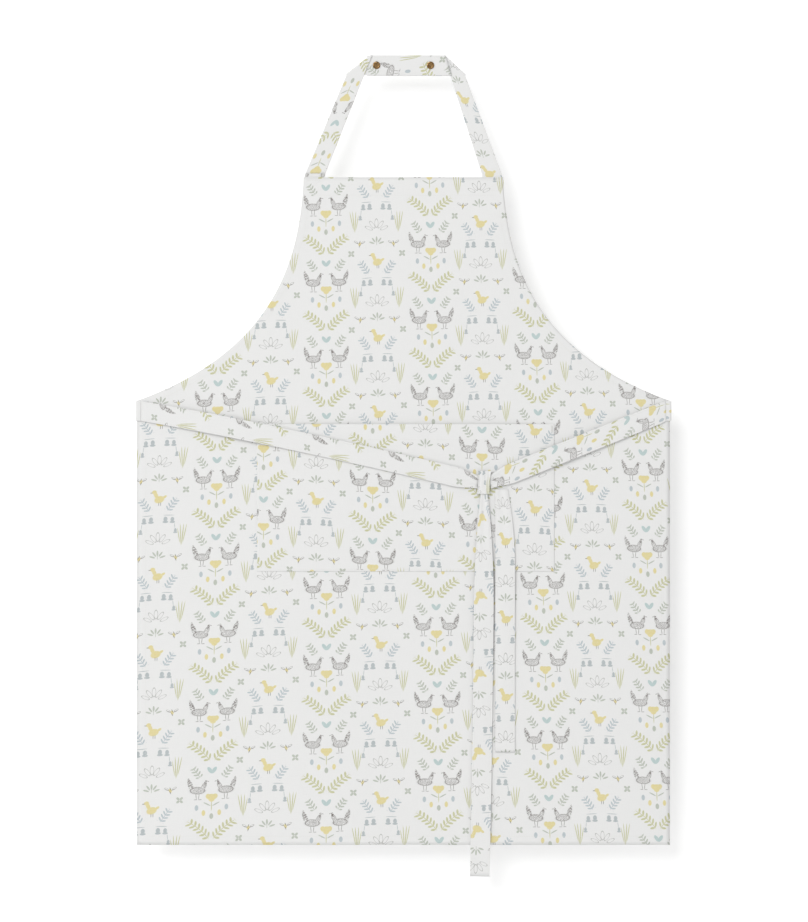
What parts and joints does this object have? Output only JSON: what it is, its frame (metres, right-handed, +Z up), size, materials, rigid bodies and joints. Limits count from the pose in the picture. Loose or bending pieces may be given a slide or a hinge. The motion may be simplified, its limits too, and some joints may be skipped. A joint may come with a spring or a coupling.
{
  "type": "apron",
  "caption": "Printed cotton bib apron hanging by its neck loop, with a wide front pocket, snap-fastened neck strap and waist ties knotted in front",
  "frame": {"origin": "middle of the lower edge of the neck loop's rear strap, where a hook bears", "axes": "+Z up, the apron's front faces -Y, +X to the right seen from the front"},
  "size_m": [0.7046, 0.0197, 1.0786],
  "materials": {
    "printed_cotton": "matte",
    "thread": "matte",
    "antique_brass": "satin"
  },
  "bodies": {
    "rear_strap": {"right_neck_strap": "printed_cotton", "left_snap_stud": "antique_brass", "left_snap_back_ring": "antique_brass", "right_snap_stud": "antique_brass", "right_snap_back_ring": "antique_brass"},
    "front_strap": {"left_neck_strap": "printed_cotton", "left_snap_cap": "antique_brass", "left_snap_socket": "antique_brass", "right_snap_cap": "antique_brass", "right_snap_socket": "antique_brass"},
    "apron": {"apron_panel": "printed_cotton", "pocket": "printed_cotton", "left_strap_sewn_end": "printed_cotton", "right_strap_sewn_end": "printed_cotton", "left_tie_sewn_end": "printed_cotton", "right_tie_sewn_end": "printed_cotton", "bottom_hem_seam": "thread", "right_side_seam": "thread", "right_armhole_seam": "thread", "bib_top_seam": "thread", "left_armhole_seam": "thread", "left_side_seam": "thread", "pocket_seam": "thread", "pocket_mouth_seam": "thread", "pocket_left_bar_tack": "thread", "pocket_right_bar_tack": "thread", "left_strap_box_stitch": "thread", "right_strap_box_stitch": "thread", "left_tie_box_stitch": "thread", "right_tie_box_stitch": "thread"},
    "waist_ties": {"left_tie_band": "printed_cotton", "right_tie_band": "printed_cotton", "tie_knot": "printed_cotton"},
    "long_tail": {"long_tie_tail": "printed_cotton"},
    "short_tail": {"short_tie_tail": "printed_cotton"}
  },
  "joints": [
    {"name": "apron_swing", "type": "hinge", "parent": "rear_strap", "child": "apron", "pos_m": [0, -0.00675, -0.1315], "axis": [-1, 0, 0], "range_deg": [0, 30]},
    {"name": "front_strap_unsnap", "type": "hinge", "parent": "rear_strap", "child": "front_strap", "pos_m": [0, -0.00675, -0.1315], "axis": [1, 0, 0], "range_deg": [0, 135]},
    {"name": "waist_ties_lift", "type": "hinge", "parent": "apron", "child": "waist_ties", "pos_m": [0, -0.0089, -0.427], "axis": [-1, 0, 0], "range_deg": [0, 45]},
    {"name": "long_tail_lift", "type": "hinge", "parent": "waist_ties", "child": "long_tail", "pos_m": [0, -0.015, -0.5517], "axis": [-1, 0, 0], "range_deg": [0, 90]},
    {"name": "short_tail_lift", "type": "hinge", "parent": "waist_ties", "child": "short_tail", "pos_m": [0, -0.0132, -0.5462], "axis": [-1, 0, 0], "range_deg": [0, 90]}
  ]
}
